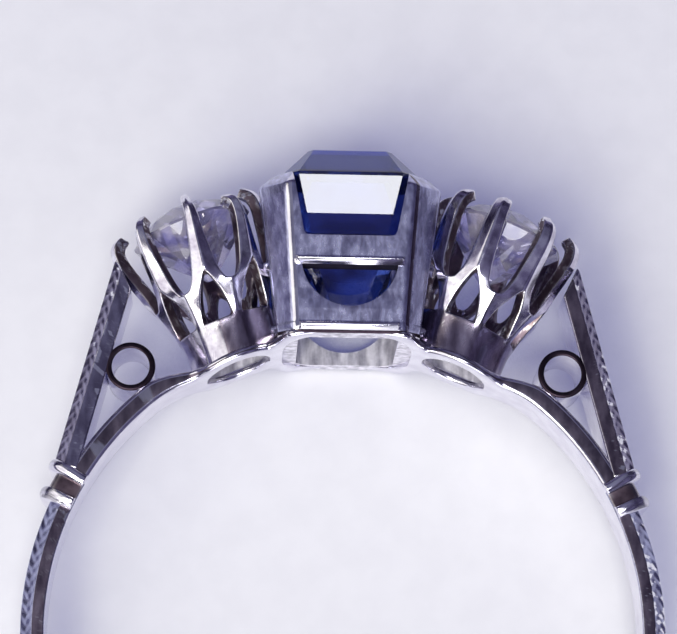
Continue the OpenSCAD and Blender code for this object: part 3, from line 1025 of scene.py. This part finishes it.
# Studio: a pale floor under the ring, with a painted shadow where the ring shuts it in and a faint glow of
# painted light. A small soft box beside the lens lights the sapphire's facets, two others stand over the
# left and the finger's side, and a low one lights the gallery. The room beyond is dim, with a few lighter
# patches.
floor_half, cloth_size, cloth_span, cloth_roughness = 0.6, 1.2, (0.3, 0.7), 0.7
cloth_shade, cloth_light, painted_contact_shadow = (0.78, 0.78, 0.73, 1), (0.81, 0.81, 0.76, 1), (0.09, 0.08, 0.12, 1)
painted_shadow_reach, painted_shadow_span = 0.003, (0.0, 0.45)
# the floor glows faintly blue: painted light that lifts its shadows
floor_glow, floor_glow_strength = (0.34, 0.36, 1.0, 1), 0.20
floor_finish, floor_shader, wire = new_finish("pale_floor")
cloth = wire.speckle(cloth_size, detail=4).between(*cloth_span).blend(cloth_shade, cloth_light)
# ambient occlusion darkens the floor's colour near the ring: a painted contact shadow
unshadowed_share = wire.node("ShaderNodeAmbientOcclusion", {"samples": 8}, {"Distance": painted_shadow_reach}, output="AO")
tint = unshadowed_share.between(*painted_shadow_span).blend(painted_contact_shadow, cloth)
wire.tree.links.new(tint.socket, floor_shader.inputs["Base Color"])
floor_shader.inputs["Roughness"].default_value = cloth_roughness
floor_shader.inputs["Emission Color"].default_value = floor_glow
floor_shader.inputs["Emission Strength"].default_value = floor_glow_strength
floor_mesh = bpy.data.meshes.new("floor")
floor_mesh.from_pydata(
    [(-floor_half, -floor_half, 0), (floor_half, -floor_half, 0), (floor_half, floor_half, 0),
     (-floor_half, floor_half, 0)], [], [(0, 1, 2, 3)])
floor_mesh.materials.append(floor_finish)
floor = bpy.data.objects.new("floor", floor_mesh)
bpy.context.scene.collection.objects.link(floor)


box_reach, lit_point = 0.35, Vector((0, 12, 2))


def softbox(name, towards, width, height, radiance, colour=(1, 1, 1)):
    """A flat area light, seen from the head in a standing direction, with a given brightness."""
    light = bpy.data.lights.new(name, "AREA")
    light.shape, light.size, light.size_y = "RECTANGLE", width, height
    light.energy = radiance * math.pi * width * height
    light.color = colour
    lamp = bpy.data.objects.new(name, light)
    bpy.context.scene.collection.objects.link(lamp)
    way = (lean_back @ Vector(towards)).normalized()
    lamp.location = lie_down @ lit_point + way * box_reach
    lamp.rotation_mode = "QUATERNION"
    lamp.rotation_quaternion = way.to_track_quat("Z", "Y")
    lamp.visible_camera = False


softbox("lens_box", (0.036, -0.343, 0.939), 0.095, 0.08, 12.3, (0.85, 0.86, 0.91))
softbox("left_box", (-0.72, -0.15, 0.68), 0.42, 0.28, 1.25, (1.0, 0.98, 0.88))
softbox("key_box", (-0.30, -0.55, 0.78), 0.15, 0.18, 8.5, (1.0, 0.985, 0.82))
softbox("low_box", (0.05, -0.93, 0.24), 0.34, 0.16, 2.6)

dark_wall, dim_wall, ceiling = (0.018, 0.014, 0.035, 1), (0.15, 0.135, 0.26, 1), (0.17, 0.17, 0.26, 1)
ceiling_way, ceiling_span = Vector((0, 0.3, 0.954)), (0.80, 0.97)
patch_scale, patch_span = 2.6, (0.35, 0.65)
world = bpy.data.worlds.new("room")
world.use_nodes = True
room = world.node_tree.nodes["Background"]
wire = Wire(world.node_tree)
seen = wire.node("ShaderNodeTexCoord", output="Generated")
overhead = wire.node(
    "ShaderNodeVectorMath", {"operation": "DOT_PRODUCT"},
    {0: seen, 1: lean_back @ ceiling_way}, output="Value")
patches = wire.node(
    "ShaderNodeTexNoise", inputs={"Vector": seen, "Scale": patch_scale, "Detail": 2.0}).between(*patch_span)
walls = patches.blend(dark_wall, dim_wall)
dim_room = overhead.between(*ceiling_span).blend(walls, ceiling)
wire.tree.links.new(dim_room.socket, room.inputs["Color"])
bpy.context.scene.world = world
bpy.context.scene.view_settings.view_transform = "Standard"
